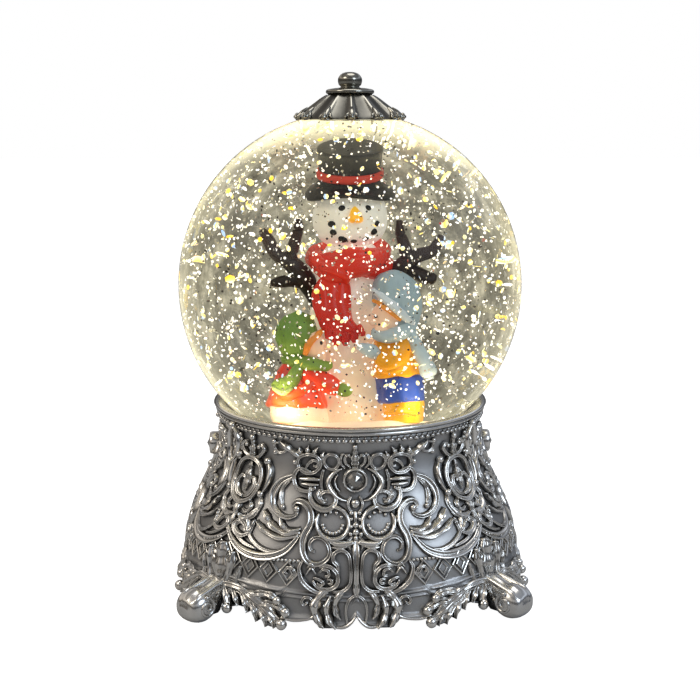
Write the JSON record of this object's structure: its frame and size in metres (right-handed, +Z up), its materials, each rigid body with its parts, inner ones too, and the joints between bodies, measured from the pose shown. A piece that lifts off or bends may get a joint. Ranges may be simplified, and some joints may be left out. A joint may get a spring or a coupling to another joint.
{
  "type": "snow globe",
  "caption": "Lit glitter snow globe with a snowman and children inside, on an ornate four-sided scroll-foot base with a fluted cap.",
  "frame": {"origin": "on the ground under the middle of the globe, at the height of the four foot soles", "axes": "+Z up through the globe's middle; -Y towards the front panel and the snowman's face; +X towards the viewer's right"},
  "size_m": [0.1018, 0.1018, 0.1472],
  "materials": {
    "base_silver": "antique silver electroplate over moulded plastic, dark in the recesses",
    "cap_silver": "dark chrome electroplate over moulded plastic",
    "jewel": "faceted smoke-grey stone with a foil back",
    "clear_acrylic": "clear polished acrylic",
    "clear_rubber": "translucent soft rubber",
    "snow": "translucent white resin, lit from below",
    "hat_black": "black paint with a soft gloss",
    "scarf_red": "red paint on a knitted relief",
    "carrot": "orange paint",
    "bark": "dark brown paint on rough bark relief",
    "child_red": "painted resin: red coat, green hat and scarf",
    "child_yellow": "painted resin: yellow and blue coat, pale blue hat and scarf",
    "white_plastic": "plain white moulding",
    "black_plastic": "fine grained black moulding",
    "magnet": "nickel plated magnet",
    "steel": "zinc plated steel",
    "contact_brass": "plated spring brass",
    "board_green": "green solder mask on glass fibre board",
    "led_lens": "clear epoxy lens, warm white",
    "cell_sleeve": "printed foil sleeve, plain bands"
  },
  "bodies": {
    "base": {"base_shell": "base_silver", "battery_1": "cell_sleeve", "battery_2": "cell_sleeve", "battery_3": "cell_sleeve", "battery_holder": "black_plastic", "bottom_cover": "black_plastic", "carrot_nose": "carrot", "child_left": "child_red", "child_right": "child_yellow", "contact_plate_left": "contact_brass", "contact_plate_right": "contact_brass", "contact_spring_1": "steel", "contact_spring_2": "steel", "contact_spring_3": "steel", "cover_screw_1": "steel", "cover_screw_2": "steel", "cover_screw_3": "steel", "cover_screw_4": "steel", "finial_knob": "cap_silver", "fluted_cap": "cap_silver", "globe_plug": "clear_rubber", "globe_shell": "clear_acrylic", "hat_band": "scarf_red", "impeller_pin": "steel", "jewel_back": "jewel", "jewel_front": "jewel", "jewel_left": "jewel", "jewel_right": "jewel", "led_1": "led_lens", "led_2": "led_lens", "led_3": "led_lens", "led_4": "led_lens", "led_board": "board_green", "mechanism_plate": "white_plastic", "motor": "steel", "plate_screw_1": "steel", "plate_screw_2": "steel", "plate_screw_3": "steel", "plate_screw_4": "steel", "rim_ring": "base_silver", "snow_mound": "snow", "snowman_body": "snow", "snowman_scarf": "scarf_red", "switch_body": "steel", "top_hat": "hat_black", "twig_arm_left": "bark", "twig_arm_right": "bark"},
    "battery_door": {"battery_door": "black_plastic"},
    "switch_knob": {"switch_slider": "black_plastic"},
    "drive_rotor": {"drive_rotor": "white_plastic", "motor_shaft": "steel", "drive_magnet_1": "magnet", "drive_magnet_2": "magnet"},
    "impeller": {"impeller": "white_plastic", "impeller_magnet": "magnet"}
  },
  "joints": [
    {"name": "battery_door_hinge", "type": "hinge", "parent": "base", "child": "battery_door", "pos_m": [0, 0.0241, 0.003], "axis": [1, 0, 0], "range_deg": [0, 80]},
    {"name": "switch_slide", "type": "slide", "parent": "base", "child": "switch_knob", "axis": [1, 0, 0], "range_m": [0, 0.0045]},
    {"name": "drive_spin", "type": "hinge", "parent": "base", "child": "drive_rotor", "pos_m": [0, 0, 0.0386], "axis": [0, 0, 1], "continuous": true},
    {"name": "impeller_spin", "type": "hinge", "parent": "base", "child": "impeller", "pos_m": [0, 0, 0.0464], "axis": [0, 0, 1], "continuous": true}
  ],
  "couplings": [
    {"joint": "drive_spin", "follows": "impeller_spin", "ratio": 1}
  ]
}
